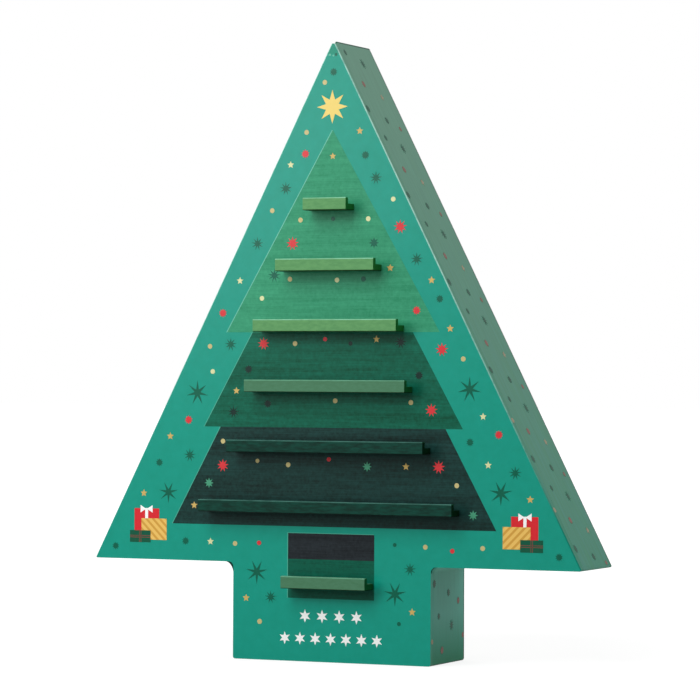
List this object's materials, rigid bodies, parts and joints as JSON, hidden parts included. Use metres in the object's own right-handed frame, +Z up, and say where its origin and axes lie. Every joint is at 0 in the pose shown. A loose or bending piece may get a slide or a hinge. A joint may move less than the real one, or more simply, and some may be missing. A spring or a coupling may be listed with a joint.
{
  "type": "wooden advent calendar",
  "caption": "Tree-shaped wooden box with lipped display ledges on its front and a bank of numbered sliding drawers in its back.",
  "frame": {"origin": "middle of the foot of the trunk, on the surface that the calendar stands on", "axes": "+Z up, +Y towards the back, where the drawers slide out, +X to the right as seen from the front"},
  "size_m": [0.429, 0.0955, 0.501],
  "materials": {
    "printed_front": "board covered with matt printed paper",
    "printed_side": "board covered with matt printed paper",
    "plain_board": "sanded fibreboard",
    "ledge_light": "painted light green",
    "ledge_grey": "painted grey green",
    "ledge_dark": "painted dark green",
    "drawer": "sanded plywood with a painted front and a turned knob"
  },
  "bodies": {
    "carcass": {"front_board": "printed_front", "side_left": "printed_side", "side_right": "printed_side", "branch_board": "printed_side", "trunk_left": "printed_side", "trunk_right": "printed_side", "trunk_base": "printed_side", "back_infills": "printed_side", "row_shelf_1": "plain_board", "row_shelf_2": "plain_board", "row_shelf_3": "plain_board", "row_shelf_4": "plain_board", "row_shelf_5": "plain_board", "row_shelf_6": "plain_board", "row_dividers_1": "plain_board", "row_dividers_2": "plain_board", "row_dividers_3": "plain_board", "row_dividers_4": "plain_board", "row_dividers_5": "plain_board", "row_dividers_6": "plain_board", "trunk_dividers": "plain_board", "ledge_board_1": "ledge_light", "ledge_board_2": "ledge_light", "ledge_board_3": "ledge_light", "ledge_board_4": "ledge_grey", "ledge_board_5": "ledge_dark", "ledge_board_6": "ledge_dark", "ledge_board_7": "ledge_grey", "ledge_lip_1": "ledge_light", "ledge_lip_2": "ledge_light", "ledge_lip_3": "ledge_light", "ledge_lip_4": "ledge_grey", "ledge_lip_5": "ledge_dark", "ledge_lip_6": "ledge_dark", "ledge_lip_7": "ledge_grey"},
    "drawer_01": {"drawer_01": "drawer"},
    "drawer_02": {"drawer_02": "drawer"},
    "drawer_03": {"drawer_03": "drawer"},
    "drawer_04": {"drawer_04": "drawer"},
    "drawer_05": {"drawer_05": "drawer"},
    "drawer_06": {"drawer_06": "drawer"},
    "drawer_07": {"drawer_07": "drawer"},
    "drawer_08": {"drawer_08": "drawer"},
    "drawer_09": {"drawer_09": "drawer"},
    "drawer_10": {"drawer_10": "drawer"},
    "drawer_11": {"drawer_11": "drawer"},
    "drawer_12": {"drawer_12": "drawer"},
    "drawer_13": {"drawer_13": "drawer"},
    "drawer_14": {"drawer_14": "drawer"},
    "drawer_15": {"drawer_15": "drawer"},
    "drawer_16": {"drawer_16": "drawer"},
    "drawer_17": {"drawer_17": "drawer"},
    "drawer_18": {"drawer_18": "drawer"},
    "drawer_19": {"drawer_19": "drawer"},
    "drawer_20": {"drawer_20": "drawer"},
    "drawer_21": {"drawer_21": "drawer"},
    "drawer_22": {"drawer_22": "drawer"},
    "drawer_23": {"drawer_23": "drawer"},
    "drawer_24": {"drawer_24": "drawer"}
  },
  "joints": [
    {"name": "drawer_01_slide", "type": "slide", "parent": "carcass", "child": "drawer_01", "axis": [0, 1, 0], "range_m": [0, 0.05]},
    {"name": "drawer_02_slide", "type": "slide", "parent": "carcass", "child": "drawer_02", "axis": [0, 1, 0], "range_m": [0, 0.05]},
    {"name": "drawer_03_slide", "type": "slide", "parent": "carcass", "child": "drawer_03", "axis": [0, 1, 0], "range_m": [0, 0.05]},
    {"name": "drawer_04_slide", "type": "slide", "parent": "carcass", "child": "drawer_04", "axis": [0, 1, 0], "range_m": [0, 0.05]},
    {"name": "drawer_05_slide", "type": "slide", "parent": "carcass", "child": "drawer_05", "axis": [0, 1, 0], "range_m": [0, 0.05]},
    {"name": "drawer_06_slide", "type": "slide", "parent": "carcass", "child": "drawer_06", "axis": [0, 1, 0], "range_m": [0, 0.05]},
    {"name": "drawer_07_slide", "type": "slide", "parent": "carcass", "child": "drawer_07", "axis": [0, 1, 0], "range_m": [0, 0.05]},
    {"name": "drawer_08_slide", "type": "slide", "parent": "carcass", "child": "drawer_08", "axis": [0, 1, 0], "range_m": [0, 0.05]},
    {"name": "drawer_09_slide", "type": "slide", "parent": "carcass", "child": "drawer_09", "axis": [0, 1, 0], "range_m": [0, 0.05]},
    {"name": "drawer_10_slide", "type": "slide", "parent": "carcass", "child": "drawer_10", "axis": [0, 1, 0], "range_m": [0, 0.05]},
    {"name": "drawer_11_slide", "type": "slide", "parent": "carcass", "child": "drawer_11", "axis": [0, 1, 0], "range_m": [0, 0.05]},
    {"name": "drawer_12_slide", "type": "slide", "parent": "carcass", "child": "drawer_12", "axis": [0, 1, 0], "range_m": [0, 0.05]},
    {"name": "drawer_13_slide", "type": "slide", "parent": "carcass", "child": "drawer_13", "axis": [0, 1, 0], "range_m": [0, 0.05]},
    {"name": "drawer_14_slide", "type": "slide", "parent": "carcass", "child": "drawer_14", "axis": [0, 1, 0], "range_m": [0, 0.05]},
    {"name": "drawer_15_slide", "type": "slide", "parent": "carcass", "child": "drawer_15", "axis": [0, 1, 0], "range_m": [0, 0.05]},
    {"name": "drawer_16_slide", "type": "slide", "parent": "carcass", "child": "drawer_16", "axis": [0, 1, 0], "range_m": [0, 0.05]},
    {"name": "drawer_17_slide", "type": "slide", "parent": "carcass", "child": "drawer_17", "axis": [0, 1, 0], "range_m": [0, 0.05]},
    {"name": "drawer_18_slide", "type": "slide", "parent": "carcass", "child": "drawer_18", "axis": [0, 1, 0], "range_m": [0, 0.05]},
    {"name": "drawer_19_slide", "type": "slide", "parent": "carcass", "child": "drawer_19", "axis": [0, 1, 0], "range_m": [0, 0.05]},
    {"name": "drawer_20_slide", "type": "slide", "parent": "carcass", "child": "drawer_20", "axis": [0, 1, 0], "range_m": [0, 0.05]},
    {"name": "drawer_21_slide", "type": "slide", "parent": "carcass", "child": "drawer_21", "axis": [0, 1, 0], "range_m": [0, 0.05]},
    {"name": "drawer_22_slide", "type": "slide", "parent": "carcass", "child": "drawer_22", "axis": [0, 1, 0], "range_m": [0, 0.05]},
    {"name": "drawer_23_slide", "type": "slide", "parent": "carcass", "child": "drawer_23", "axis": [0, 1, 0], "range_m": [0, 0.05]},
    {"name": "drawer_24_slide", "type": "slide", "parent": "carcass", "child": "drawer_24", "axis": [0, 1, 0], "range_m": [0, 0.05]}
  ]
}
